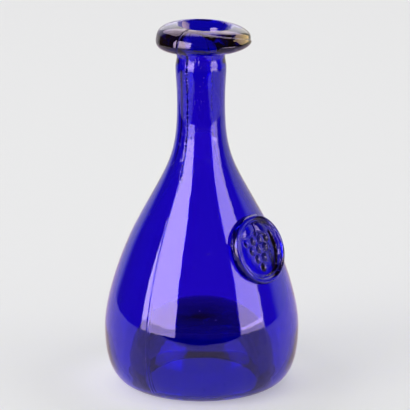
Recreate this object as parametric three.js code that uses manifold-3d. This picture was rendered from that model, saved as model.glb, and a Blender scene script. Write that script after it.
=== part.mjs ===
// A blown glass carafe: a bulb-shaped body with a pushed-up base, a heavy lip ring
// laid on the mouth, and a round stamped glass seal on the shoulder.
// Millimetres, +Z up. The origin is the middle of the foot, and the seal faces -Y.

import * as THREE from 'three';
import { mergeVertices } from 'three/addons/utils/BufferGeometryUtils.js';
import Module from 'manifold-3d';

// Neck
const NECK_RADIUS = 14.3;
const NECK_WALL = 3.3;
const NECK_FLARE = 0.5;
const NECK_TOP = 205.9;
const NECK_BOTTOM = 172.3;
const NECK_SPREAD = 33.6;

// Shoulder: where its slope turns over, how steep it is there and how far the slope runs
const SHOULDER_RADIUS = 38.9;
const SHOULDER_HEIGHT = 100;
const SHOULDER_SLOPE = 27.6;
const SHOULDER_RUN_UP = 39;
const SHOULDER_RUN_DOWN = 19;

// Belly and heel
const BELLY_RADIUS = 58.4;
const BELLY_HEIGHT = 35.4;
const BELLY_RUN_UP = 18.2;
const BELLY_RUN_DOWN = 23.1;
const HEEL_RUN = 14.8;
const WALL = 3.3;
const HEEL_WALL = 4.5;

// Foot, and the base that is pushed up into a dome
const FOOT_RADIUS = 37.5;
const FOOT_WIDTH = 2;
const DOME_RADIUS = 44.5;
const DOME_HEIGHT = 50.8;
const DOME_CROWN_RUN = 28;
const DOME_SIDE_RUN = 27;
const DOME_GLASS = 12;
const HOLLOW_CROWN_RUN = 22.3;
const HOLLOW_SIDE_RUN = 36;

// The channel between the dome and the wall
const MOAT_TOP = 9;
const MOAT_WALL_TOP = 11.5;
const MOAT_DEPTH = 6.5;

// Lip ring: its outer edge leans and sits a little to one side, the bore stays true
const LIP_HEIGHT = 14.1;
const LIP_RADIUS = 28.3;
const LIP_MIDDLE = 5.7;
const LIP_UNDER_RUN = 6.8;
const LIP_UNDER_SAG = 1;
const LIP_SIDE_DROP = 5;
const LIP_SIDE_RISE = 6.4;
const LIP_CREST_RADIUS = 17;
const LIP_CREST_RUN = 3.7;
const LIP_CREST_FALL = 0.7;
const LIP_MOUTH_RUN = 1;
const LIP_MOUTH_ROUND = 12;
const LIP_LEAN = 3;
const LIP_SHIFT = 1.9;
const LIP_LEAN_AZIMUTH = 40;
const LIP_LEAN_BLEND = 4;
const LIP_LEAN_RISE = 8;

// Seal: a stamped disc with a bead rim round a sunk field
const SEAL_RADIUS = 21;
const SEAL_HEIGHT = 90.2;
const SEAL_THICKNESS = 3.2;
const SEAL_BEAD = 3.4;
const SEAL_STEP = 0.8;
const SEAL_STEP_DEPTH = 1.1;
const SEAL_FIELD_DEPTH = 2.2;
const SEAL_UPRIGHT = 3;
const SEAL_GAP = 0.3;
const SEAL_ROOT = 9;

// Relief on the seal: a bunch of grapes under two leaves
const GRAPE_RADIUS = 3.2;
const GRAPE_ROWS = 4;
const GRAPE_PITCH = 6;
const GRAPE_ROW_PITCH = 5.5;
const GRAPE_SINK = 1.4;
const BUNCH_DROP = 2.6;
const LEAF_LENGTH = 6.2;
const LEAF_WIDTH = 3.6;
const LEAF_HEIGHT = 1.6;
const LEAF_OUT = 6;
const LEAF_RISE = 6.2;
const LEAF_TILT = 24;
const STEM_RADIUS = 1.1;
const STEM_LENGTH = 10.6;
const STEM_RISE = 7.2;

// Facets
const ROUND_STEPS = 48;
const CURVE_STEPS = 8;
const SHORT_CURVE_STEPS = 5;

const wasm = await Module();
wasm.setup();

const glass = (color) => new THREE.MeshStandardMaterial({ color, roughness: 0.05, metalness: 0 });

const radians = THREE.MathUtils.degToRad;

// Points along a cubic curve, without its last point, so that curves chain
function curve(start, startPull, endPull, end, steps = CURVE_STEPS) {
  const bezier = new THREE.CubicBezierCurve(start, startPull, endPull, end);
  return bezier.getPoints(steps).slice(0, -1);
}

const at = (radius, height) => new THREE.Vector2(radius, height);

// Unit direction down the shoulder where its slope turns over
const slope = at(Math.sin(radians(SHOULDER_SLOPE)), -Math.cos(radians(SHOULDER_SLOPE)));

const neckRimRadius = NECK_RADIUS + NECK_FLARE;
const boreRadius = neckRimRadius - NECK_WALL;
const mouthHeight = NECK_TOP + LIP_HEIGHT;
const lipMiddle = NECK_TOP + LIP_MIDDLE;

// Outer wall from under the lip down to the outer edge of the foot
function outerWall() {
  const flareRun = (NECK_TOP - NECK_BOTTOM) / 3;
  const turn = at(SHOULDER_RADIUS, SHOULDER_HEIGHT);
  const shoulderUp = turn.clone().addScaledVector(slope, -SHOULDER_RUN_UP);
  const shoulderDown = turn.clone().addScaledVector(slope, SHOULDER_RUN_DOWN);
  return [
    ...curve(
      at(neckRimRadius, NECK_TOP),
      at(NECK_RADIUS + NECK_FLARE * 2 / 3, NECK_TOP - flareRun),
      at(NECK_RADIUS, NECK_TOP - 2 * flareRun),
      at(NECK_RADIUS, NECK_BOTTOM),
      SHORT_CURVE_STEPS,
    ),
    ...curve(at(NECK_RADIUS, NECK_BOTTOM), at(NECK_RADIUS, NECK_BOTTOM - NECK_SPREAD), shoulderUp, turn),
    ...curve(turn, shoulderDown, at(BELLY_RADIUS, BELLY_HEIGHT + BELLY_RUN_UP), at(BELLY_RADIUS, BELLY_HEIGHT)),
    ...curve(
      at(BELLY_RADIUS, BELLY_HEIGHT),
      at(BELLY_RADIUS, BELLY_HEIGHT - BELLY_RUN_DOWN),
      at(FOOT_RADIUS + HEEL_RUN, 0),
      at(FOOT_RADIUS, 0),
    ),
    at(FOOT_RADIUS, 0),
  ];
}

// The same wall moved outwards by a distance, or inwards where it is negative
function offsetWall(points, distanceAt) {
  return points.map((point, i) => {
    const before = points[Math.max(i - 1, 0)];
    const after = points[Math.min(i + 1, points.length - 1)];
    const along = after.clone().sub(before).normalize();
    const outward = at(-along.y, along.x);
    return point.clone().addScaledVector(outward, distanceAt(point.y));
  });
}

// The glass thickens from the belly down to the heel
function wallThickness(height) {
  if (height >= NECK_BOTTOM) return NECK_WALL;
  const down = THREE.MathUtils.clamp((BELLY_HEIGHT - height) / BELLY_HEIGHT, 0, 1);
  return THREE.MathUtils.lerp(WALL, HEEL_WALL, down);
}

// Turns an outline round the Z axis
function turned(points, steps = ROUND_STEPS) {
  const geometry = new THREE.LatheGeometry(points, steps);
  geometry.rotateX(Math.PI / 2);
  return geometry;
}

function welded(geometry) {
  geometry.deleteAttribute('normal');
  geometry.deleteAttribute('uv');
  return mergeVertices(geometry, 1e-4);
}

function toSolid(geometry) {
  const mesh = welded(geometry);
  return new wasm.Manifold(
    new wasm.Mesh({
      numProp: 3,
      vertProperties: new Float32Array(mesh.attributes.position.array),
      triVerts: new Uint32Array(mesh.index.array),
    }),
  );
}

function toGeometry(solid) {
  const mesh = solid.getMesh();
  const geometry = new THREE.BufferGeometry();
  geometry.setAttribute('position', new THREE.BufferAttribute(mesh.vertProperties, mesh.numProp));
  geometry.setIndex(new THREE.BufferAttribute(mesh.triVerts, 1));
  geometry.computeVertexNormals();
  return geometry;
}

// A dome's outline from its side up over its crown
function domeCurve(radius, foot, sideRun, crownRun, height) {
  return [
    ...curve(at(radius, foot), at(radius, foot + sideRun), at(crownRun, height), at(0, height)),
    at(0, height),
  ];
}

// Body: one closed outline of glass, from the hollow under the base, over the outside
// and the mouth, down the inside and over the dome that the base makes in there
function bodyGeometry() {
  const outside = outerWall();
  const inside = offsetWall(outside, (height) => -wallThickness(height));
  const wallAboveMoat = inside.filter((point) => point.y > MOAT_WALL_TOP);
  const wallEnd = wallAboveMoat[wallAboveMoat.length - 1];
  const wallRun = wallEnd.clone().sub(wallAboveMoat[wallAboveMoat.length - 2]).normalize();
  const hollowRadius = FOOT_RADIUS - FOOT_WIDTH;
  const hollow = domeCurve(hollowRadius, 0, HOLLOW_SIDE_RUN, HOLLOW_CROWN_RUN, DOME_HEIGHT - DOME_GLASS);
  const dome = domeCurve(DOME_RADIUS, MOAT_TOP, DOME_SIDE_RUN, DOME_CROWN_RUN, DOME_HEIGHT);
  const moat = curve(
    wallEnd,
    wallEnd.clone().addScaledVector(wallRun, MOAT_DEPTH),
    at(DOME_RADIUS, MOAT_TOP - MOAT_DEPTH),
    at(DOME_RADIUS, MOAT_TOP),
  );
  const outline = [
    ...hollow.reverse(),
    ...outside.reverse(),
    at(boreRadius, NECK_TOP),
    ...wallAboveMoat.slice(1, -1),
    ...moat,
    ...dome,
  ];
  return welded(turned(outline));
}

// The bend of the lip ring: nothing at its seat, in the bore and on its level underside,
// and all of it at the outer edge and on top
function leanWeight(radius, height) {
  const aboveBore = height - (mouthHeight - LIP_MOUTH_ROUND);
  const away = Math.max(radius - neckRimRadius, aboveBore, 0);
  const aboveUnder = height - (NECK_TOP - LIP_UNDER_SAG);
  const rise = THREE.MathUtils.smoothstep(aboveUnder, 0, LIP_LEAN_RISE);
  return THREE.MathUtils.smoothstep(away, 0, LIP_LEAN_BLEND) * rise;
}

// Lip ring: stands on the flat top of the neck, with the same bore and the same outer edge
function lipGeometry() {
  const crest = at(LIP_CREST_RADIUS, mouthHeight);
  const middle = at(LIP_RADIUS, lipMiddle);
  const outerSeat = at(neckRimRadius, NECK_TOP);
  const boreTop = at(boreRadius, mouthHeight - LIP_MOUTH_ROUND);
  const outline = [
    at(boreRadius, NECK_TOP),
    ...curve(
      outerSeat,
      at(neckRimRadius + LIP_UNDER_RUN, NECK_TOP - LIP_UNDER_SAG),
      at(LIP_RADIUS, lipMiddle - LIP_SIDE_DROP),
      middle,
    ),
    ...curve(
      middle,
      at(LIP_RADIUS, lipMiddle + LIP_SIDE_RISE),
      at(LIP_CREST_RADIUS + LIP_CREST_RUN, mouthHeight - LIP_CREST_FALL),
      crest,
    ),
    ...curve(
      crest,
      at(LIP_CREST_RADIUS - LIP_MOUTH_RUN, mouthHeight),
      at(boreRadius, mouthHeight - LIP_MOUTH_ROUND / 3),
      boreTop,
      SHORT_CURVE_STEPS,
    ),
    boreTop,
    at(boreRadius, NECK_TOP),
  ];
  const geometry = turned(outline);
  const lean = radians(LIP_LEAN);
  const azimuth = radians(LIP_LEAN_AZIMUTH);
  const side = new THREE.Vector3(Math.sin(azimuth), -Math.cos(azimuth), 0);
  const hingeLine = new THREE.Vector3(0, 0, 1).cross(side);
  const centre = new THREE.Vector3(0, 0, lipMiddle);
  const positions = geometry.attributes.position;
  const point = new THREE.Vector3();
  for (let i = 0; i < positions.count; i += 1) {
    point.fromBufferAttribute(positions, i);
    const weight = leanWeight(Math.hypot(point.x, point.y), point.z);
    if (weight > 0) {
      point.sub(centre).applyAxisAngle(hingeLine, lean * weight).add(centre);
      point.addScaledVector(side, LIP_SHIFT * weight);
      positions.setXYZ(i, point.x, point.y, point.z);
    }
  }
  return welded(geometry);
}

// The place of the seal: the outer wall's radius and slope at the seal's height
function sealSeat() {
  const wall = outerWall();
  const below = wall.findIndex((point) => point.y < SEAL_HEIGHT);
  const upper = wall[below - 1];
  const lower = wall[below];
  const share = (upper.y - SEAL_HEIGHT) / (upper.y - lower.y);
  const radius = THREE.MathUtils.lerp(upper.x, lower.x, share);
  const wallSlope = Math.atan2(lower.x - upper.x, upper.y - lower.y);
  const tilt = wallSlope - radians(SEAL_UPRIGHT);
  return { radius, tilt };
}

// An ellipsoid in the seal's own frame: X across, Y up the wall, Z out of the glass
function pebble(halfWidth, halfHeight, halfDepth, x, y, z, turn = 0) {
  const geometry = new THREE.IcosahedronGeometry(1, 1);
  geometry.scale(halfWidth, halfHeight, halfDepth);
  geometry.rotateZ(radians(turn));
  geometry.translate(x, y, z);
  return toSolid(geometry);
}

// Grapes in rows, each one grape shorter, with a leaf to each side and a stem on top
function reliefPieces(fieldLevel) {
  const pieces = [];
  const grapeLevel = fieldLevel - GRAPE_SINK;
  const topRow = GRAPE_ROW_PITCH * (GRAPE_ROWS - 1) / 2 - BUNCH_DROP;
  for (let row = 0; row < GRAPE_ROWS; row += 1) {
    const inRow = GRAPE_ROWS - row;
    for (let i = 0; i < inRow; i += 1) {
      const x = (i - (inRow - 1) / 2) * GRAPE_PITCH;
      const y = topRow - row * GRAPE_ROW_PITCH;
      pieces.push(pebble(GRAPE_RADIUS, GRAPE_RADIUS, GRAPE_RADIUS, x, y, grapeLevel));
    }
  }
  for (const side of [-1, 1]) {
    const turn = -side * LEAF_TILT;
    pieces.push(pebble(LEAF_LENGTH, LEAF_WIDTH, LEAF_HEIGHT, side * LEAF_OUT, topRow + LEAF_RISE, fieldLevel, turn));
  }
  pieces.push(pebble(STEM_RADIUS, STEM_LENGTH / 2, LEAF_HEIGHT, 0, topRow + STEM_RISE, fieldLevel));
  return pieces;
}

// The disc before it is seated: bead rim, inner step, sunk field, root into the wall
function sealDisc() {
  const beadEdge = SEAL_RADIUS - SEAL_BEAD;
  const beadMiddle = SEAL_RADIUS - SEAL_BEAD / 2;
  const beadHalf = SEAL_BEAD / 2;
  const fieldLevel = SEAL_THICKNESS - SEAL_FIELD_DEPTH;
  const outline = [
    at(0, -SEAL_ROOT),
    at(SEAL_RADIUS, -SEAL_ROOT),
    ...curve(
      at(SEAL_RADIUS, SEAL_THICKNESS - beadHalf),
      at(SEAL_RADIUS, SEAL_THICKNESS - beadHalf / 4),
      at(beadMiddle + beadHalf / 2, SEAL_THICKNESS),
      at(beadMiddle, SEAL_THICKNESS),
      SHORT_CURVE_STEPS,
    ),
    ...curve(
      at(beadMiddle, SEAL_THICKNESS),
      at(beadMiddle - beadHalf / 2, SEAL_THICKNESS),
      at(beadEdge, SEAL_THICKNESS - SEAL_STEP_DEPTH / 2),
      at(beadEdge, SEAL_THICKNESS - SEAL_STEP_DEPTH),
      SHORT_CURVE_STEPS,
    ),
    at(beadEdge, SEAL_THICKNESS - SEAL_STEP_DEPTH),
    at(beadEdge - SEAL_STEP, fieldLevel),
    at(0, fieldLevel),
  ];
  let disc = toSolid(turned(outline));
  for (const piece of reliefPieces(fieldLevel)) {
    disc = disc.add(piece);
  }
  return disc;
}

// The seal stands on the wall, a little more upright than it, and its back follows the glass
function sealGeometry() {
  const { radius, tilt } = sealSeat();
  const outward = new THREE.Vector3(0, -Math.cos(tilt), Math.sin(tilt));
  const across = new THREE.Vector3(1, 0, 0);
  const up = new THREE.Vector3().crossVectors(outward, across);
  const place = new THREE.Matrix4().makeBasis(across, up, outward);
  place.setPosition(0, -radius, SEAL_HEIGHT);
  const placed = toGeometry(sealDisc()).applyMatrix4(place);
  const envelope = offsetWall(outerWall(), () => SEAL_GAP);
  const core = [at(0, envelope[0].y), ...envelope, at(0, envelope[envelope.length - 1].y)];
  const glassCore = toSolid(turned(core.reverse()));
  return toGeometry(toSolid(placed).subtract(glassCore));
}

function piece(name, geometry, material) {
  const mesh = new THREE.Mesh(geometry, material);
  mesh.name = name;
  return mesh;
}

const carafe = new THREE.Group();
carafe.add(piece('carafe_body', bodyGeometry(), glass(0x1a08b4)));
carafe.add(piece('lip_ring', lipGeometry(), glass(0x1d0c8c)));
carafe.add(piece('shoulder_seal', sealGeometry(), glass(0x1c0a9a)));

export default carafe;
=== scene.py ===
"""Looks for a blown glass carafe: body with a pushed-up base, lip ring, shoulder seal.

Sizes are in millimetres until a piece is finished, and then the mesh is scaled to metres.
The neck's axis is Z, and the middle of the seal faces -Y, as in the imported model.
"""
import math

import bmesh
import bpy
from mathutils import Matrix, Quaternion, Vector, noise
from mathutils.geometry import interpolate_bezier


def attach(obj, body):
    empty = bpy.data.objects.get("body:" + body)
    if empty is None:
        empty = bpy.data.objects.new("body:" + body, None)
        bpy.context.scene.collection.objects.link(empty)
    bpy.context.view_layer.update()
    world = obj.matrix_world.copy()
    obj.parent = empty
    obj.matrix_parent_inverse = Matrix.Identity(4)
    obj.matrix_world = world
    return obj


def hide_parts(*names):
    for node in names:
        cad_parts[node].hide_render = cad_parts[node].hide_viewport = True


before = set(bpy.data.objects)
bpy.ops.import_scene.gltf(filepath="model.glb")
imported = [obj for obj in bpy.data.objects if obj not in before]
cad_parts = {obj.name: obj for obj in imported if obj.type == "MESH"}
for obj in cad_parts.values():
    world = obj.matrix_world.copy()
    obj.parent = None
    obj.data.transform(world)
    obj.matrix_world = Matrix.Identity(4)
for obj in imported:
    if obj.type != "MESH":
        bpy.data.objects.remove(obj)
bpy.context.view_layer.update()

MM = 0.001

# Neck
NECK_RADIUS = 14.3
NECK_WALL = 3.3
NECK_FLARE = 0.5
NECK_TOP = 205.9
NECK_BOTTOM = 172.3
NECK_SPREAD = 33.6

# Collar: the neck swells a little below the lip and is nipped in right under it
COLLAR_SWELL = 0.55
COLLAR_HEIGHT = 194.5
COLLAR_RUN = 10
COLLAR_NIP = 0.35
COLLAR_NIP_HEIGHT = 201.5

# Shoulder: where its slope turns over, how steep it is there and how far the slope runs
SHOULDER_RADIUS = 38.9
SHOULDER_HEIGHT = 100
SHOULDER_SLOPE = 27.6
SHOULDER_RUN_UP = 39
SHOULDER_RUN_DOWN = 19

# Belly and heel
BELLY_RADIUS = 58.4
BELLY_HEIGHT = 35.4
BELLY_RUN_UP = 18.2
BELLY_RUN_DOWN = 23.1
HEEL_RUN = 14.8
WALL = 3.3
HEEL_WALL = 4.5

# Foot, and the base that is pushed up into a dome
FOOT_RADIUS = 37.5
FOOT_WIDTH = 2
DOME_RADIUS = 44.5
DOME_HEIGHT = 50.8
DOME_CROWN_RUN = 28
DOME_SIDE_RUN = 27
DOME_GLASS = 12
HOLLOW_CROWN_RUN = 22.3
HOLLOW_SIDE_RUN = 36

# The channel between the dome and the wall
MOAT_TOP = 9
MOAT_WALL_TOP = 12
MOAT_DEPTH = 6.5

# Lip ring
LIP_HEIGHT = 14.1
LIP_RADIUS = 28.3
LIP_MIDDLE = 5.7
LIP_UNDER_RUN = 6.8
LIP_UNDER_SAG = 1
LIP_SIDE_DROP = 5
LIP_SIDE_RISE = 6.4
LIP_CREST_RADIUS = 17
LIP_CREST_RUN = 3.7
LIP_CREST_FALL = 0.7
LIP_MOUTH_RUN = 1
LIP_MOUTH_ROUND = 12
LIP_LEAN = 3
LIP_SHIFT = 1.9
LIP_LEAN_AZIMUTH = 40
LIP_LEAN_BLEND = 4
LIP_LEAN_RISE = 8
LIP_JOINT = 0.02

# Lap: where the glass thread of the lip ends on itself, as a slanting step with ripples.
# Angles of the section are in degrees above its middle, turns are in degrees round the neck
LAP_AZIMUTH = 31
LAP_SLANT = 1
LAP_STEP = 1
LAP_TURN = 3
LAP_FADE = 34
LAP_RIPPLE = 0.1
LAP_RIPPLE_TURN = 9
LAP_SECTION_RADIUS = 20
LAP_BOTTOM = -63
LAP_BOTTOM_BLEND = 90
LAP_TOP = 85
LAP_TOP_BLEND = 30

# Seal
SEAL_RADIUS = 21
SEAL_HEIGHT = 90.2
SEAL_THICKNESS = 3.2
SEAL_BEAD = 3.4
SEAL_BULGE = 0.6
SEAL_TUCK = 1.6
SEAL_TUCK_DEPTH = 5
SEAL_LINE = 1
SEAL_LINE_DEPTH = 0.72
SEAL_STEP = 0.8
SEAL_STEP_DEPTH = 1.1
SEAL_FIELD_DEPTH = 2.2
SEAL_UPRIGHT = 3
SEAL_JOINT = 0.1
SEAL_ROOT = 9

# Relief on the seal
GRAPE_RADIUS = 3.2
GRAPE_ROWS = 4
GRAPE_PITCH = 6
GRAPE_ROW_PITCH = 5.5
GRAPE_SINK = 1.4
BUNCH_DROP = 2.6
LEAF_LENGTH = 6.2
LEAF_WIDTH = 3.6
LEAF_HEIGHT = 1.6
LEAF_OUT = 6
LEAF_RISE = 6.2
LEAF_TILT = 24
STEM_RADIUS = 1.1
STEM_LENGTH = 10.6
STEM_RISE = 7.2
SEAL_VOXEL = 0.25
SEAL_SOFTENING = 2
SEAL_SOFTENING_FACTOR = 0.5

# Mould seams: two fine ridges opposite each other, ragged on the neck, grooves on the lip
SEAM_AZIMUTH = -84
SEAM_HALF_WIDTH = 0.9
SEAM_HEIGHT = 0.14
SEAM_NECK_HEIGHT = 2.6
SEAM_LIP_DEPTH = 0.35
SEAM_NECK_BOTTOM = 118
SEAM_NECK_BLEND = 30
SEAM_RAGGED = 1.6
SEAM_WANDER = 9
SEAM_WANDER_ROW = 4
SEAM_BOTTOM = 5
SEAM_REACH = 3
SEAM_CUTS = 3
SEAM_RAISED_SHARE = 0.9
SEAM_OVER_DOME = 2
SEAM_BESIDE_DOME = 1.5

# Mesh steps
ROUND_STEPS = 160
LIP_STEPS = 360
LIP_CURVE_STEPS = 30
SEAL_STEPS = 96
CURVE_STEPS = 36
SHORT_CURVE_STEPS = 14
PEBBLE_SEGMENTS = 32
PEBBLE_RINGS = 16
WELD_DISTANCE = 0.002
SMOOTH_ANGLE = 40

# Glass: what a millimetre of it takes out, and the colour of what it lets through
GLASS_IOR = 1.52
COBALT_DENSITY = 0.95
COBALT_LEFT = "#9d00f9"

# Surface of the glass: waves on body and lip, seeds, scuffs on the foot, and grain on the
# seal, which starts at a reach from the seal's axis and is full nearer to it
WAVE_LENGTH = 15
WAVE_DETAIL = 1
BLOWN_WAVE = 0.12
TOOLED_WAVE = 0.2
GRAIN_LENGTH = 1.5
GRAIN_DETAIL = 2
STAMPED_GRAIN = 0.45
STAMPED_DULLNESS = 0.22
STAMPED_REACH = 13
STAMPED_FULL = 9.5
SEED_SPACING = 6
SEED_RADIUS = 0.35
SEED_HEIGHT = 0.12
SCUFF_TOP = 0.6
SCUFF_ROUGHNESS = 0.35

# Fine drawn marks on the neck beside the seam
MARKS_TURN = 14
MARKS_INNER = 12.4
MARKS_FULL = 13.6
MARKS_BOTTOM = 132
MARKS_RISE = 150
MARKS_WIDTH = 1.1
MARKS_LENGTH = 4
MARKS_DETAIL = 2
MARKS_START = 0.65
MARKS_END = 0.75
MARKS_HEIGHT = 0.2

# How far a face counts as fused: the limit, what lying under the seal adds, and how
# squarely the lip's seat faces down and the seal's back faces the body
FUSED_LIMIT = 0.9
FUSED_UNDER_SEAL = 0.5
SEAT_FACING = 0.9
BACK_FACING = 0.3

# Camera and lights: angles in degrees round the carafe, 0 in front of the seal
VIEW_AZIMUTH = -50
VIEW_ELEVATION = 15.25
VIEW_DISTANCE = 2000
PIXELS_PER_MM = 1.672
PICTURE_WIDTH = 410
SENSOR_WIDTH = 36
LOOK_HEIGHT = 110
LOOK_RIGHT = 2.2
VIEW_ROLL = -0.15

# Studio: colours of paper, room and lamps, to the camera and as the glass shows them
PAPER = "#e7e7e7"
# Painted reflection: the pinkish tint the paper has only where the glass reflects it
PAPER_PAINTED_IN_REFLECTIONS = "#e7d2df"
ROOM = "#e7e7e8"
DARK_ROOM = "#543a36"
BRIGHT_LEFT = "#e8dfe8"
BRIGHT_RIGHT = "#ede1c4"
WINDOW = "#ffe3ff"
WARM_LAMP = "#ffd890"
# Colour of the painted pool of light that glows on the paper round the foot
PAINTED_POOL_COLOUR = "#f0ecff"

# Room: its strength, how far its bright back is turned to the right, and as cosines, where
# the brightness starts and is full, and where the light starts to turn warm and is warm
ROOM_STRENGTH = 0.9
ROOM_TURN = 0.25
ROOM_START = 0.4
ROOM_END = 0.56
WARM_START = -0.2
WARM_END = 0.7

# Floor, and a table that only the glass reflects, in metres: its painted front edge slants away to
# both sides by the spread, and the middle of its round edge lies forward of the carafe
FLOOR_SIZE = 12
FLOOR_DROP = 0.0002
TABLE_EDGE = 0.33
TABLE_SPREAD = 0.45
TABLE_RADIUS = 0.92
TABLE_FORWARD = 0.3

# Painted pool of light on the paper round the foot: how far it reaches and is full, the power by
# which it falls off, how strong it is and how far its middle lies to the left
PAINTED_POOL_RADIUS = 95
PAINTED_POOL_FULL_RADIUS = 40
PAINTED_POOL_FALL = 2
PAINTED_POOL_STRENGTH = 0.46
PAINTED_POOL_LEFT = 5


def direction(azimuth):
    """Unit vector on the floor that points from the carafe to an azimuth."""
    angle = math.radians(azimuth)
    return Vector((math.sin(angle), -math.cos(angle), 0))


# Outlines

def curve(start, start_pull, end_pull, end, steps=CURVE_STEPS):
    """Points along a cubic curve without its last point, so that curves chain."""
    knots = [Vector(point).to_3d() for point in (start, start_pull, end_pull, end)]
    return [point.to_2d() for point in interpolate_bezier(*knots, steps + 1)[:-1]]


def outer_wall():
    """Outer wall from under the lip down to the outer edge of the foot."""
    slope = math.radians(SHOULDER_SLOPE)
    down = Vector((math.sin(slope), -math.cos(slope)))
    turn = Vector((SHOULDER_RADIUS, SHOULDER_HEIGHT))
    flare_run = (NECK_TOP - NECK_BOTTOM) / 3
    neck = curve(
        (NECK_RADIUS + NECK_FLARE, NECK_TOP),
        (NECK_RADIUS + NECK_FLARE * 2 / 3, NECK_TOP - flare_run),
        (NECK_RADIUS, NECK_TOP - 2 * flare_run),
        (NECK_RADIUS, NECK_BOTTOM),
    )
    shoulder = curve(
        (NECK_RADIUS, NECK_BOTTOM),
        (NECK_RADIUS, NECK_BOTTOM - NECK_SPREAD),
        turn - down * SHOULDER_RUN_UP,
        turn,
    )
    belly = curve(
        turn,
        turn + down * SHOULDER_RUN_DOWN,
        (BELLY_RADIUS, BELLY_HEIGHT + BELLY_RUN_UP),
        (BELLY_RADIUS, BELLY_HEIGHT),
    )
    heel = curve(
        (BELLY_RADIUS, BELLY_HEIGHT),
        (BELLY_RADIUS, BELLY_HEIGHT - BELLY_RUN_DOWN),
        (FOOT_RADIUS + HEEL_RUN, 0),
        (FOOT_RADIUS, 0),
    )
    return neck + shoulder + belly + heel + [Vector((FOOT_RADIUS, 0))]


def collared(points):
    """The outer wall with the collar's swelling and the nip above it."""
    shaped = []
    for point in points:
        below = min((point.y - COLLAR_HEIGHT) / COLLAR_RUN, 0)
        swell = COLLAR_SWELL * math.exp(-below * below)
        nipped = smooth_share((point.y - COLLAR_HEIGHT) / (COLLAR_NIP_HEIGHT - COLLAR_HEIGHT))
        seat = smooth_share((point.y - COLLAR_NIP_HEIGHT) / (NECK_TOP - COLLAR_NIP_HEIGHT))
        out = (swell - (swell + COLLAR_NIP) * nipped) * (1 - seat)
        shaped.append(point + Vector((out, 0)))
    return shaped


def offset_wall(points, distance_at):
    """The same wall moved outwards by a distance, or inwards where it is negative."""
    moved = []
    for i, point in enumerate(points):
        before = points[max(i - 1, 0)]
        after = points[min(i + 1, len(points) - 1)]
        along = (after - before).normalized()
        outward = Vector((-along.y, along.x))
        moved.append(point + outward * distance_at(point.y))
    return moved


def wall_thickness(height):
    """The glass thickens from the belly down to the heel."""
    if height >= NECK_BOTTOM:
        return NECK_WALL
    down = min(max((BELLY_HEIGHT - height) / BELLY_HEIGHT, 0), 1)
    return WALL + (HEEL_WALL - WALL) * down


def dome_curve(radius, foot, side_run, crown_run, height):
    """A dome's outline from its side up over its crown."""
    points = curve((radius, foot), (radius, foot + side_run), (crown_run, height), (0, height))
    return points + [Vector((0, height))]


def body_outline():
    """One closed outline of glass: hollow, outside, neck top, inside, channel and dome."""
    outside = outer_wall()
    inside = offset_wall(outside, lambda height: -wall_thickness(height))
    inside = [point for point in inside if point.y > MOAT_WALL_TOP]
    wall_end = inside[-1]
    wall_run = (wall_end - inside[-2]).normalized()
    hollow = dome_curve(
        FOOT_RADIUS - FOOT_WIDTH, 0, HOLLOW_SIDE_RUN, HOLLOW_CROWN_RUN, DOME_HEIGHT - DOME_GLASS
    )
    moat = curve(
        wall_end,
        wall_end + wall_run * MOAT_DEPTH,
        (DOME_RADIUS, MOAT_TOP - MOAT_DEPTH),
        (DOME_RADIUS, MOAT_TOP),
        SHORT_CURVE_STEPS,
    )
    dome = dome_curve(DOME_RADIUS, MOAT_TOP, DOME_SIDE_RUN, DOME_CROWN_RUN, DOME_HEIGHT)
    bore_corner = [Vector((NECK_RADIUS + NECK_FLARE - NECK_WALL, NECK_TOP))]
    return hollow[::-1] + collared(outside)[::-1] + bore_corner + inside[1:-1] + moat + dome


def lip_outline():
    """Closed outline of the lip ring, from its seat on the neck and back to it."""
    rim = NECK_RADIUS + NECK_FLARE
    bore = rim - NECK_WALL
    seat = NECK_TOP + LIP_JOINT
    top = NECK_TOP + LIP_HEIGHT
    middle = (LIP_RADIUS, NECK_TOP + LIP_MIDDLE)
    crest = (LIP_CREST_RADIUS, top)
    bore_top = (bore, top - LIP_MOUTH_ROUND)
    under = curve(
        (rim, seat),
        (rim + LIP_UNDER_RUN, NECK_TOP - LIP_UNDER_SAG),
        (LIP_RADIUS, NECK_TOP + LIP_MIDDLE - LIP_SIDE_DROP),
        middle,
        LIP_CURVE_STEPS,
    )
    side = curve(
        middle,
        (LIP_RADIUS, NECK_TOP + LIP_MIDDLE + LIP_SIDE_RISE),
        (LIP_CREST_RADIUS + LIP_CREST_RUN, top - LIP_CREST_FALL),
        crest,
        LIP_CURVE_STEPS,
    )
    mouth = curve(
        crest,
        (LIP_CREST_RADIUS - LIP_MOUTH_RUN, top),
        (bore, top - LIP_MOUTH_ROUND / 3),
        bore_top,
        LIP_CURVE_STEPS,
    )
    return [Vector((bore, seat))] + under + side + mouth + [Vector(bore_top), Vector((bore, seat))]


# Mesh steps done as by hand, in edit mode

def select_none():
    bpy.ops.object.select_all(action="DESELECT")


def select_faces(piece, chosen):
    """In edit mode, selects the faces whose centre and normal pass a test, and no others."""
    bpy.ops.mesh.select_all(action="DESELECT")
    cut = bmesh.from_edit_mesh(piece.data)
    for face in cut.faces:
        if chosen(face.calc_center_median(), face.normal):
            face.select_set(True)
    bmesh.update_edit_mesh(piece.data)


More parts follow.
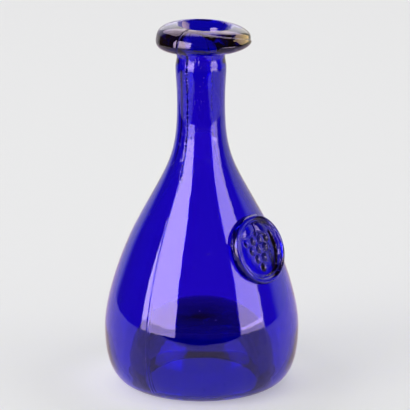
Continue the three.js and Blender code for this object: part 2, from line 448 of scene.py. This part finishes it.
def spun(name, outline, steps=ROUND_STEPS):
    """A solid turned round Z from an outline that is extruded point by point."""
    select_none()
    bpy.ops.mesh.primitive_plane_add(size=1, location=(0, 0, 0))
    piece = bpy.context.object
    piece.name = name
    piece.data.name = name
    bpy.ops.object.mode_set(mode="EDIT")
    bpy.ops.mesh.merge(type="CENTER")
    first = Vector((outline[0].x, 0, outline[0].y))
    bpy.ops.transform.translate(value=first)
    for here, following in zip(outline, outline[1:]):
        step = following - here
        bpy.ops.mesh.extrude_vertices_move(TRANSFORM_OT_translate={"value": (step.x, 0, step.y)})
    bpy.ops.mesh.select_all(action="SELECT")
    bpy.ops.mesh.spin(
        steps=steps, angle=math.tau, center=(0, 0, 0), axis=(0, 0, 1), use_auto_merge=True
    )
    bpy.ops.mesh.select_all(action="SELECT")
    bpy.ops.mesh.remove_doubles(threshold=WELD_DISTANCE)
    bpy.ops.mesh.normals_make_consistent(inside=False)
    bpy.ops.object.mode_set(mode="OBJECT")
    bpy.ops.object.shade_smooth_by_angle(angle=math.radians(SMOOTH_ANGLE))
    return piece


def smooth_share(value):
    """Rises from 0 to 1 as a value goes from 0 to 1, without corners."""
    value = min(max(value, 0), 1)
    return value * value * (3 - 2 * value)


def leaned(lip):
    """Tips the ring over with a hook, and leaves its seat, its level underside and its bore."""
    rim = NECK_RADIUS + NECK_FLARE
    under = NECK_TOP - LIP_UNDER_SAG
    round_start = NECK_TOP + LIP_HEIGHT - LIP_MOUTH_ROUND
    share = lip.vertex_groups.new(name="lean")
    for vertex in lip.data.vertices:
        away = max(vertex.co.to_2d().length - rim, vertex.co.z - round_start, 0)
        rise = smooth_share((vertex.co.z - under) / LIP_LEAN_RISE)
        share.add([vertex.index], smooth_share(away / LIP_LEAN_BLEND) * rise, "REPLACE")
    select_none()
    middle = Vector((0, 0, NECK_TOP + LIP_MIDDLE))
    bpy.ops.object.empty_add(location=middle)
    handle = bpy.context.object
    bpy.context.view_layer.update()
    hook = lip.modifiers.new("Lean", "HOOK")
    hook.object = handle
    hook.vertex_group = share.name
    hook.matrix_inverse = handle.matrix_world.inverted()
    side = direction(LIP_LEAN_AZIMUTH)
    hinge = Vector((0, 0, 1)).cross(side)
    handle.location = middle + side * LIP_SHIFT
    handle.rotation_mode = "QUATERNION"
    handle.rotation_quaternion = Quaternion(hinge, math.radians(LIP_LEAN))
    bpy.context.view_layer.update()
    bpy.context.view_layer.objects.active = lip
    bpy.ops.object.modifier_apply(modifier=hook.name)
    bpy.data.objects.remove(handle)
    lip.vertex_groups.clear()


def lapped(lip):
    """Sinks the slanting step and ripples where the thread of the lip ends on itself."""
    normals = [vertex.normal.copy() for vertex in lip.data.vertices]
    for vertex, normal in zip(lip.data.vertices, normals):
        spot = vertex.co
        height = spot.z - NECK_TOP - LIP_HEIGHT / 2
        outward = spot.to_2d().length - LAP_SECTION_RADIUS
        round_section = math.degrees(math.atan2(height, outward))
        azimuth = math.degrees(math.atan2(spot.x, -spot.y))
        past = azimuth - LAP_AZIMUTH + LAP_SLANT * round_section
        past = (past + 180) % 360 - 180
        over = smooth_share((round_section - LAP_BOTTOM) / LAP_BOTTOM_BLEND)
        over *= smooth_share((LAP_TOP - round_section) / LAP_TOP_BLEND)
        step = smooth_share(past / LAP_TURN) * (1 - smooth_share(past / LAP_FADE))
        ripple = math.sin(math.tau * past / LAP_RIPPLE_TURN) * math.exp(-(past / LAP_FADE * 2) ** 2)
        depth = LAP_STEP * step + LAP_RIPPLE * ripple
        vertex.co = spot - normal * depth * over


def seal_outline():
    """Half section of the seal: tucked-in root, bead rim, groove, fine line and sunk field."""
    bead_half = SEAL_BEAD / 2
    bead_middle = SEAL_RADIUS - bead_half
    bead_edge = SEAL_RADIUS - SEAL_BEAD
    field = SEAL_THICKNESS - SEAL_FIELD_DEPTH
    outer_round = curve(
        (SEAL_RADIUS - SEAL_TUCK, -SEAL_TUCK_DEPTH),
        (SEAL_RADIUS + SEAL_BULGE, -SEAL_TUCK_DEPTH / 3),
        (SEAL_RADIUS + SEAL_BULGE, SEAL_THICKNESS),
        (bead_middle, SEAL_THICKNESS),
        SHORT_CURVE_STEPS,
    )
    inner_round = curve(
        (bead_middle, SEAL_THICKNESS),
        (bead_middle - bead_half / 2, SEAL_THICKNESS),
        (bead_edge, SEAL_THICKNESS - SEAL_STEP_DEPTH / 2),
        (bead_edge, SEAL_THICKNESS - SEAL_STEP_DEPTH),
        SHORT_CURVE_STEPS,
    )
    line_edge = bead_edge - SEAL_LINE
    corners = [
        (bead_edge, SEAL_THICKNESS - SEAL_STEP_DEPTH),
        (line_edge, SEAL_THICKNESS - SEAL_LINE_DEPTH),
        (line_edge - SEAL_STEP, field),
        (0, field),
    ]
    root = [Vector((0, -SEAL_ROOT)), Vector((SEAL_RADIUS - SEAL_TUCK, -SEAL_ROOT))]
    return root + outer_round + inner_round + [Vector(corner) for corner in corners]


def pebble(half_sizes, spot, turn=0):
    """A flattened ball of relief in the seal's own frame, with Z out of the glass."""
    select_none()
    bpy.ops.mesh.primitive_uv_sphere_add(
        segments=PEBBLE_SEGMENTS, ring_count=PEBBLE_RINGS, radius=1, location=spot
    )
    ball = bpy.context.object
    ball.scale = half_sizes
    ball.rotation_euler = (0, 0, math.radians(turn))
    return ball


def relief():
    """Grapes in rows, each one grape shorter, with a leaf to each side and a stem on top."""
    field = SEAL_THICKNESS - SEAL_FIELD_DEPTH
    top_row = GRAPE_ROW_PITCH * (GRAPE_ROWS - 1) / 2 - BUNCH_DROP
    balls = []
    for row in range(GRAPE_ROWS):
        in_row = GRAPE_ROWS - row
        for i in range(in_row):
            x = (i - (in_row - 1) / 2) * GRAPE_PITCH
            y = top_row - row * GRAPE_ROW_PITCH
            balls.append(pebble((GRAPE_RADIUS,) * 3, (x, y, field - GRAPE_SINK)))
    for side in (-1, 1):
        spot = (side * LEAF_OUT, top_row + LEAF_RISE, field)
        balls.append(pebble((LEAF_LENGTH, LEAF_WIDTH, LEAF_HEIGHT), spot, -side * LEAF_TILT))
    spot = (0, top_row + STEM_RISE, field)
    balls.append(pebble((STEM_RADIUS, STEM_LENGTH / 2, LEAF_HEIGHT), spot))
    return balls


def apply_modifier(piece, kind, **settings):
    """Adds a modifier with its settings and applies it."""
    modifier = piece.modifiers.new(kind.title(), kind)
    for key, value in settings.items():
        setattr(modifier, key, value)
    bpy.context.view_layer.objects.active = piece
    bpy.ops.object.modifier_apply(modifier=modifier.name)


def seal_place():
    """The middle of the seal on the outer wall, and the direction that it faces."""
    wall = outer_wall()
    for upper, lower in zip(wall, wall[1:]):
        if lower.y < SEAL_HEIGHT:
            break
    share = (upper.y - SEAL_HEIGHT) / (upper.y - lower.y)
    radius = upper.x + (lower.x - upper.x) * share
    tilt = math.atan2(lower.x - upper.x, upper.y - lower.y) - math.radians(SEAL_UPRIGHT)
    return Vector((0, -radius, SEAL_HEIGHT)), Vector((0, -math.cos(tilt), math.sin(tilt)))


def stamped_seal():
    """The seal: disc and relief melted into one soft skin, set on the shoulder."""
    seal = spun("carafe_shoulder_seal", seal_outline(), SEAL_STEPS)
    balls = relief()
    select_none()
    for ball in [seal, *balls]:
        ball.select_set(True)
    bpy.context.view_layer.objects.active = seal
    bpy.ops.object.transform_apply(location=True, rotation=True, scale=True)
    bpy.ops.object.join()
    apply_modifier(seal, "REMESH", mode="VOXEL", voxel_size=SEAL_VOXEL, use_smooth_shade=True)
    apply_modifier(seal, "SMOOTH", factor=SEAL_SOFTENING_FACTOR, iterations=SEAL_SOFTENING)
    seal.rotation_euler = (math.atan2(-seal_axis.y, seal_axis.z), 0, 0)
    seal.location = seal_centre
    bpy.ops.object.transform_apply(location=True, rotation=True, scale=True)
    envelope = offset_wall(outer_wall(), lambda height: SEAL_JOINT)
    top = Vector((0, envelope[0].y))
    foot = Vector((0, envelope[-1].y))
    cutter = spun("seal_cutter", [top, *envelope, foot])
    apply_modifier(seal, "BOOLEAN", operation="DIFFERENCE", object=cutter, solver="EXACT")
    bpy.data.objects.remove(cutter)
    return seal


def outside_wall(centre, normal):
    """Whether a face is on the outside of the body or the lip, above the foot."""
    radial = Vector((centre.x, centre.y, 0)).normalized()
    radius = centre.to_2d().length
    off_dome = centre.z > DOME_HEIGHT + SEAM_OVER_DOME or radius > DOME_RADIUS + SEAM_BESIDE_DOME
    outwards = normal.dot(radial) > 0 or radius > LIP_CREST_RADIUS
    return centre.z > SEAM_BOTTOM and off_dome and outwards


def seam_height(spot):
    """Height of the ridge: low on the body, ragged on the neck, and a groove on the lip."""
    on_neck = smooth_share((spot.z - SEAM_NECK_BOTTOM) / SEAM_NECK_BLEND)
    if spot.z > NECK_TOP or (on_neck == 1 and spot.to_2d().length > LIP_CREST_RADIUS):
        return -SEAM_LIP_DEPTH
    ragged = SEAM_NECK_HEIGHT * noise.noise(Vector((spot.z / SEAM_RAGGED, spot.x, 0)))
    low = SEAM_HEIGHT * (1 + noise.noise(Vector((spot.z / SEAM_WANDER, SEAM_WANDER_ROW, 0))))
    return low + (ragged - low) * on_neck


def seamed(piece):
    """Cuts the outer faces along both seams, and lifts the cut's middle line into a ridge."""
    across = direction(SEAM_AZIMUTH + 90)
    select_none()
    bpy.context.view_layer.objects.active = piece
    bpy.ops.object.mode_set(mode="EDIT")
    bpy.ops.mesh.select_mode(type="FACE")
    for shift in (-SEAM_HALF_WIDTH, 0, SEAM_HALF_WIDTH):
        select_faces(piece, lambda centre, normal: abs(centre.dot(across)) < SEAM_REACH
                     and outside_wall(centre, normal))
        bpy.ops.mesh.bisect(plane_co=across * shift, plane_no=across)
    select_faces(piece, lambda centre, normal: abs(centre.dot(across)) < SEAM_HALF_WIDTH
                 and outside_wall(centre, normal))
    bpy.ops.mesh.subdivide(number_cuts=SEAM_CUTS)
    cut = bmesh.from_edit_mesh(piece.data)
    for vertex in cut.verts:
        off = abs(vertex.co.dot(across)) / SEAM_HALF_WIDTH
        if off < SEAM_RAISED_SHARE and outside_wall(vertex.co, vertex.normal):
            vertex.co += vertex.normal * seam_height(vertex.co) * (1 - smooth_share(off))
    bmesh.update_edit_mesh(piece.data)
    bpy.ops.mesh.select_mode(type="VERT")
    bpy.ops.object.mode_set(mode="OBJECT")


def to_metres(piece):
    """Scales a finished piece from millimetres, with its place kept in its mesh."""
    select_none()
    piece.select_set(True)
    bpy.context.view_layer.objects.active = piece
    bpy.ops.object.mode_set(mode="EDIT")
    bpy.ops.mesh.select_all(action="SELECT")
    bpy.ops.transform.resize(value=(MM, MM, MM), center_override=(0, 0, 0))
    bpy.ops.object.mode_set(mode="OBJECT")


# Materials

def linear(hex_colour):
    """An sRGB hex colour as linear values with full alpha, by the standard's own curve."""
    values = []
    for i in (1, 3, 5):
        value = int(hex_colour[i:i + 2], 16) / 255
        values.append(value / 12.92 if value <= 0.04045 else ((value + 0.055) / 1.055) ** 2.4)
    return (*values, 1)


def node(tree, kind, terms=(), **settings):
    """Adds a node with its settings. Each term is a socket's value or the output linked to it."""
    made = tree.nodes.new(kind)
    for key, value in settings.items():
        setattr(made, key, value)
    for socket, term in dict(terms).items():
        if isinstance(term, bpy.types.NodeSocket):
            tree.links.new(term, made.inputs[socket])
        else:
            made.inputs[socket].default_value = term
    return made


def cobalt_glass(name, wave=0, grain=0, dullness=0, marks=0):
    """Cobalt glass: bright and smooth at the surface, and blue all through its depth.

    Cobalt takes red and green out within a millimetre or two and lets blue through, so
    the colour is absorption in the glass and not paint on it. The surface has the slow
    waves of hand work, a few seeds, fine marks beside the seam, and scuffs where it
    stands. The stamped field of the seal is grainy and a little dull.
    """
    material = bpy.data.materials.new(name)
    material.use_nodes = True
    tree = material.node_tree
    shader = tree.nodes["Principled BSDF"]
    shader.inputs["Base Color"].default_value = (1, 1, 1, 1)
    shader.inputs["Transmission Weight"].default_value = 1
    shader.inputs["IOR"].default_value = GLASS_IOR
    blue = {"Color": linear(COBALT_LEFT), "Density": COBALT_DENSITY / MM}
    depth = node(tree, "ShaderNodeVolumeAbsorption", blue).outputs["Volume"]
    tree.links.new(depth, tree.nodes["Material Output"].inputs["Volume"])

    place = node(tree, "ShaderNodeTexCoord").outputs["Object"]
    height = node(tree, "ShaderNodeSeparateXYZ", {0: place}).outputs["Z"]
    from_seal = node(
        tree, "ShaderNodeVectorMath", {0: place, 1: seal_centre * MM}, operation="SUBTRACT"
    ).outputs["Vector"]
    off_axis = node(
        tree, "ShaderNodeVectorMath", {0: from_seal, 1: seal_axis}, operation="CROSS_PRODUCT"
    ).outputs["Vector"]
    off_seal = node(
        tree, "ShaderNodeVectorMath", {0: off_axis}, operation="LENGTH"
    ).outputs["Value"]

    # Roughness: scuffs where it stands, and the dull field of the seal
    foot = {"Value": height, "From Min": SCUFF_TOP * MM, "From Max": 0, "To Max": SCUFF_ROUGHNESS}
    scuffed = node(tree, "ShaderNodeMapRange", foot).outputs["Result"]
    field = {"Value": off_seal, "From Min": STAMPED_REACH * MM, "From Max": STAMPED_FULL * MM}
    stamped = node(tree, "ShaderNodeMapRange", field).outputs["Result"]
    dulled = node(
        tree, "ShaderNodeMath", {0: stamped, 1: dullness, 2: scuffed}, operation="MULTIPLY_ADD"
    ).outputs["Value"]
    tree.links.new(dulled, shader.inputs["Roughness"])

    # Waves of hand work, the grain of the stamp, and seeds near the surface
    slow = {"Vector": place, "Scale": 1 / (WAVE_LENGTH * MM), "Detail": WAVE_DETAIL}
    waves = node(tree, "ShaderNodeTexNoise", slow).outputs["Fac"]
    fine = {"Vector": place, "Scale": 1 / (GRAIN_LENGTH * MM), "Detail": GRAIN_DETAIL}
    grit = node(tree, "ShaderNodeTexNoise", fine).outputs["Fac"]
    grains = node(
        tree, "ShaderNodeMath", {0: grit, 1: stamped}, operation="MULTIPLY"
    ).outputs["Value"]
    spread = {"Vector": place, "Scale": 1 / (SEED_SPACING * MM)}
    reach = node(tree, "ShaderNodeTexVoronoi", spread).outputs["Distance"]
    radius = SEED_RADIUS / SEED_SPACING
    pit = {"Value": reach, "From Min": radius, "From Max": radius / 2}
    seeds = node(tree, "ShaderNodeMapRange", pit).outputs["Result"]

    # Sparse flecks, drawn out upwards, in one sector of the neck
    stretch = [1 / (length * MM) for length in (MARKS_WIDTH, MARKS_WIDTH, MARKS_LENGTH)]
    long = node(tree, "ShaderNodeMapping", {"Vector": place, "Scale": stretch}).outputs["Vector"]
    sparse = {"Vector": long, "Scale": 1, "Detail": MARKS_DETAIL}
    flecks = node(tree, "ShaderNodeTexNoise", sparse).outputs["Fac"]
    marks_side = direction(SEAM_AZIMUTH + MARKS_TURN)
    sector = node(
        tree, "ShaderNodeVectorMath", {0: place, 1: marks_side}, operation="DOT_PRODUCT"
    ).outputs["Value"]
    drawn = 1
    for value, start, end in (
        (sector, MARKS_INNER * MM, MARKS_FULL * MM),
        (height, MARKS_BOTTOM * MM, MARKS_RISE * MM),
        (flecks, MARKS_START, MARKS_END),
    ):
        limits = {"Value": value, "From Min": start, "From Max": end}
        share = node(tree, "ShaderNodeMapRange", limits).outputs["Result"]
        both = node(tree, "ShaderNodeMath", {0: drawn, 1: share}, operation="MULTIPLY")
        drawn = both.outputs["Value"]

    # Each relief of the surface lies on the one before
    surface = {}
    for relief_map, rise in ((waves, wave), (grains, grain), (seeds, SEED_HEIGHT), (drawn, marks)):
        raised = {"Height": relief_map, "Strength": 1, "Distance": rise * MM, **surface}
        surface = {"Normal": node(tree, "ShaderNodeBump", raised).outputs["Normal"]}
    tree.links.new(surface["Normal"], shader.inputs["Normal"])

    # Where two pieces are fused there is no surface, so light passes as through one glass
    under_seal = node(
        tree,
        "ShaderNodeMath",
        {0: off_seal, 1: (SEAL_RADIUS - SEAL_JOINT) * MM},
        operation="LESS_THAN",
    ).outputs["Value"]
    joint = node(tree, "ShaderNodeAttribute", attribute_name="fused").outputs["Fac"]
    fused = node(
        tree,
        "ShaderNodeMath",
        {0: under_seal, 1: FUSED_UNDER_SEAL, 2: joint},
        operation="MULTIPLY_ADD",
    ).outputs["Value"]
    skin = node(tree, "ShaderNodeMath", {0: fused, 1: FUSED_LIMIT}, operation="LESS_THAN")
    tree.links.new(skin.outputs["Value"], shader.inputs["Alpha"])
    return material


def mark_fused(piece, share_of):
    """Stores on each face how far it is fused glass, where nothing bends or shines."""
    mesh = piece.data
    fused = mesh.attributes.new(name="fused", type="FLOAT", domain="FACE")
    for face in mesh.polygons:
        fused.data[face.index].value = share_of(face.center, face.normal)


def fused_in_body(centre, normal):
    """The neck's top, and the outer wall behind the seal."""
    if centre.z > NECK_TOP - LIP_JOINT:
        return 1
    outside = normal.y < 0 and centre.y < 0 and centre.z > DOME_HEIGHT
    return FUSED_UNDER_SEAL if outside else 0


def fused_in_lip(centre, normal):
    """The seat on the neck's top."""
    on_seat = centre.z < NECK_TOP + 2 * LIP_JOINT and normal.z < -SEAT_FACING
    return 1 if on_seat and centre.to_2d().length < NECK_RADIUS + NECK_FLARE else 0


def fused_in_seal(centre, normal):
    """The back, which lies on the shoulder."""
    return 1 if normal.dot(seal_axis) < -BACK_FACING else 0


# Pieces

seal_centre, seal_axis = seal_place()
body = spun("carafe_glass_body", body_outline())
seamed(body)
lip = spun("carafe_lip_ring", lip_outline(), LIP_STEPS)
seamed(lip)
lapped(lip)
leaned(lip)
seal = stamped_seal()
mark_fused(body, fused_in_body)
mark_fused(lip, fused_in_lip)
mark_fused(seal, fused_in_seal)
for piece in (body, lip, seal):
    to_metres(piece)

# Blown glass has slow waves and drawn marks, the tooled lip has deeper waves, and the stamp
# leaves a grainy field with a dull shine
seal.data.materials.clear()
blown_glass = cobalt_glass("blown_cobalt_glass", wave=BLOWN_WAVE, marks=MARKS_HEIGHT)
body.data.materials.append(blown_glass)
tooled_glass = cobalt_glass("tooled_cobalt_glass", wave=TOOLED_WAVE)
lip.data.materials.append(tooled_glass)
stamped_glass = cobalt_glass(
    "stamped_cobalt_glass", grain=STAMPED_GRAIN, dullness=STAMPED_DULLNESS
)
seal.data.materials.append(stamped_glass)

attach(body, "root")
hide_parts("carafe_body")
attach(lip, "root")
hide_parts("lip_ring")
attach(seal, "root")
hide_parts("shoulder_seal")


# Floor, world, lights and camera

view_side = direction(VIEW_AZIMUTH)
view_right = Vector((-view_side.y, view_side.x, 0))

select_none()
bpy.ops.mesh.primitive_plane_add(size=FLOOR_SIZE, location=(0, 0, -FLOOR_DROP))
floor = bpy.context.object
floor.name = "studio_floor"
paper = bpy.data.materials.new("white_paper_floor")
paper.use_nodes = True
tree = paper.node_tree
shader = tree.nodes["Principled BSDF"]
shader.inputs["Roughness"].default_value = 1
shader.inputs["Specular IOR Level"].default_value = 0
place = node(tree, "ShaderNodeNewGeometry").outputs["Position"]
# Painted reflection: in what the glass reflects, the paper takes a pinkish tint that it doesn't
# have to the camera
glossy = node(tree, "ShaderNodeLightPath").outputs["Is Glossy Ray"]
papers = {"Factor": glossy, 6: linear(PAPER), 7: linear(PAPER_PAINTED_IN_REFLECTIONS)}
tinted = node(tree, "ShaderNodeMix", papers, data_type="RGBA").outputs[2]
tree.links.new(tinted, shader.inputs["Base Color"])

# Painted pool of light: the paper glows round its foot in place of the light that the glass throws
# on it
painted_pool_middle = view_right * -PAINTED_POOL_LEFT * MM
reach = node(
    tree, "ShaderNodeVectorMath", {0: place, 1: painted_pool_middle}, operation="DISTANCE"
).outputs["Value"]
ring = {"Value": reach, "From Min": PAINTED_POOL_RADIUS * MM, "From Max": PAINTED_POOL_FULL_RADIUS * MM}
nearness = node(tree, "ShaderNodeMapRange", ring).outputs["Result"]
falling = node(
    tree, "ShaderNodeMath", {0: nearness, 1: PAINTED_POOL_FALL}, operation="POWER"
).outputs["Value"]
painted_pool = node(
    tree, "ShaderNodeMath", {0: falling, 1: PAINTED_POOL_STRENGTH}, operation="MULTIPLY"
).outputs["Value"]
shader.inputs["Emission Color"].default_value = linear(PAINTED_POOL_COLOUR)
tree.links.new(painted_pool, shader.inputs["Emission Strength"])

# Painted dark reflection: in what the glass reflects, the paper is painted black past a front edge
# that is nearest in the middle
toward = node(
    tree, "ShaderNodeVectorMath", {0: place, 1: view_side}, operation="DOT_PRODUCT"
).outputs["Value"]
sideways = node(
    tree, "ShaderNodeVectorMath", {0: place, 1: view_right}, operation="DOT_PRODUCT"
).outputs["Value"]
apart = node(tree, "ShaderNodeMath", {0: sideways}, operation="ABSOLUTE").outputs["Value"]
edge = node(
    tree, "ShaderNodeMath", {0: apart, 1: TABLE_SPREAD, 2: TABLE_EDGE}, operation="MULTIPLY_ADD"
).outputs["Value"]
past_edge = node(
    tree, "ShaderNodeMath", {0: toward, 1: edge}, operation="GREATER_THAN"
).outputs["Value"]
dark = node(
    tree, "ShaderNodeMath", {0: past_edge, 1: glossy}, operation="MULTIPLY"
).outputs["Value"]
painted_black = node(tree, "ShaderNodeEmission", {"Color": (0, 0, 0, 1)}).outputs["Emission"]
cut = {0: dark, 1: shader.outputs["BSDF"], 2: painted_black}
cut_paper = node(tree, "ShaderNodeMixShader", cut).outputs["Shader"]

# Painted reflection: in what the glass reflects, the paper also ends at the round edge of the
# table, and the room shows beyond it
table_middle = view_side * TABLE_FORWARD
from_middle = node(
    tree, "ShaderNodeVectorMath", {0: place, 1: table_middle}, operation="DISTANCE"
).outputs["Value"]
past_table = node(
    tree, "ShaderNodeMath", {0: from_middle, 1: TABLE_RADIUS}, operation="GREATER_THAN"
).outputs["Value"]
gone = node(
    tree, "ShaderNodeMath", {0: past_table, 1: glossy}, operation="MULTIPLY"
).outputs["Value"]
nothing = node(tree, "ShaderNodeBsdfTransparent").outputs["BSDF"]
table = node(tree, "ShaderNodeMixShader", {0: gone, 1: cut_paper, 2: nothing}).outputs["Shader"]
tree.links.new(table, tree.nodes["Material Output"].inputs["Surface"])
floor.data.materials.append(paper)

# The world is pale to the camera. In the glass it is dark in front and bright behind, and
# warmer to the right
world = bpy.data.worlds.new("pale_studio")
bpy.context.scene.world = world
world.use_nodes = True
tree = world.node_tree
background = tree.nodes["Background"]
background.inputs["Strength"].default_value = ROOM_STRENGTH
look = node(tree, "ShaderNodeTexCoord").outputs["Generated"]
behind = (view_right * ROOM_TURN - view_side).normalized()
away = node(
    tree, "ShaderNodeVectorMath", {0: look, 1: behind}, operation="DOT_PRODUCT"
).outputs["Value"]
to_right = node(
    tree, "ShaderNodeVectorMath", {0: look, 1: view_right}, operation="DOT_PRODUCT"
).outputs["Value"]
opening = {"Value": away, "From Min": ROOM_START, "From Max": ROOM_END}
openness = node(tree, "ShaderNodeMapRange", opening).outputs["Result"]
warming = {"Value": to_right, "From Min": WARM_START, "From Max": WARM_END}
warmth = node(tree, "ShaderNodeMapRange", warming).outputs["Result"]
sky = {"Factor": warmth, 6: linear(BRIGHT_LEFT), 7: linear(BRIGHT_RIGHT)}
bright = node(tree, "ShaderNodeMix", sky, data_type="RGBA").outputs[2]
walls = {"Factor": openness, 6: linear(DARK_ROOM), 7: bright}
room = node(tree, "ShaderNodeMix", walls, data_type="RGBA").outputs[2]
glossy = node(tree, "ShaderNodeLightPath").outputs["Is Glossy Ray"]
views = {"Factor": glossy, 6: linear(ROOM), 7: room}
seen = node(tree, "ShaderNodeMix", views, data_type="RGBA").outputs[2]
tree.links.new(seen, background.inputs["Color"])


def aim_at(lamp, height):
    """Turns a lamp to a height on the carafe's axis."""
    ahead = Vector((0, 0, height)) - lamp.location
    lamp.rotation_euler = ahead.to_track_quat("-Z", "Y").to_euler()


def softbox(name, colour, azimuth, distance, height, size, power):
    """An upright lamp that is seen in the glass and doesn't light the paper.

    Its place and size are in metres, and its azimuth is from the camera, right positive.
    """
    select_none()
    spot = direction(VIEW_AZIMUTH + azimuth) * distance + Vector((0, 0, height))
    bpy.ops.object.light_add(type="AREA", location=spot)
    lamp = bpy.context.object
    lamp.name = name
    lamp.data.shape = "RECTANGLE"
    lamp.data.size, lamp.data.size_y = size
    lamp.data.energy = power
    lamp.data.color = linear(colour)[:3]
    lamp.visible_diffuse = False
    aim_at(lamp, height)
    return lamp


def paper_light(name, **place):
    """A lamp that lights the paper, turned to the foot, and isn't seen in the glass."""
    lamp = softbox(name, PAPER, **place)
    lamp.visible_diffuse = True
    lamp.visible_glossy = False
    lamp.visible_transmission = False
    aim_at(lamp, 0)
    return lamp


def seen_in(lamp, pieces):
    """Keeps a lamp's light to some of the pieces."""
    receivers = bpy.data.collections.new(lamp.name + "_receivers")
    for piece in pieces:
        receivers.objects.link(piece)
    lamp.light_linking.receiver_collection = receivers


softbox(
    "window_left", WINDOW, azimuth=-53.5, distance=2.1, height=1.07, size=(1.74, 1.86), power=95
)
window = softbox(
    "window_right", WINDOW, azimuth=62.5, distance=1.97, height=1.0, size=(1.17, 1.88), power=39
)
seen_in(window, (body, seal))
softbox(
    "sill_left", WINDOW, azimuth=-53.5, distance=2.1, height=-0.1, size=(1.74, 0.49), power=14.5
)
softbox(
    "sill_right", WINDOW, azimuth=62.5, distance=1.97, height=-0.1, size=(1.17, 0.49), power=7.6
)
back_wall = softbox(
    "back_wall", PAPER, azimuth=180, distance=3, height=1.35, size=(2.2, 1.8), power=16
)
back_wall.visible_transmission = False
warm_lamp = softbox(
    "warm_lamp", WARM_LAMP, azimuth=115, distance=0.3, height=0.34, size=(0.26, 0.28), power=0.9
)
warm_lamp.visible_transmission = False
seen_in(warm_lamp, (lip,))
ceiling = softbox("ceiling", WINDOW, azimuth=180, distance=1.6, height=1.9, size=(3, 1.6), power=28)
ceiling.visible_transmission = False
seen_in(ceiling, (lip, seal))
aim_at(ceiling, 0)
paper_light("paper_light_left", azimuth=-53, distance=2.1, height=0.8, size=(1.3, 1.9), power=17)
paper_light("paper_light_right", azimuth=64, distance=1.97, height=0.8, size=(1.0, 1.7), power=5)
fill = paper_light("paper_light_back", azimuth=180, distance=0.9, height=2.2, size=(3, 3), power=23)
fill.data.use_shadow = False

elevation = math.radians(VIEW_ELEVATION)
back = view_side * math.cos(elevation) + Vector((0, 0, math.sin(elevation)))
select_none()
target = Vector((0, 0, LOOK_HEIGHT)) + view_right * LOOK_RIGHT
bpy.ops.object.camera_add(location=(target + back * VIEW_DISTANCE) * MM)
camera = bpy.context.object
level = (-back).to_track_quat("-Z", "Y")
camera.rotation_euler = (level @ Quaternion((0, 0, 1), math.radians(VIEW_ROLL))).to_euler()
camera.data.sensor_width = SENSOR_WIDTH
camera.data.lens = SENSOR_WIDTH * PIXELS_PER_MM * VIEW_DISTANCE / PICTURE_WIDTH
bpy.context.scene.camera = camera

scene = bpy.context.scene
scene.view_settings.view_transform = "Standard"
scene.cycles.max_bounces = 24
scene.cycles.transmission_bounces = 20
scene.cycles.glossy_bounces = 8
scene.cycles.transparent_max_bounces = 16
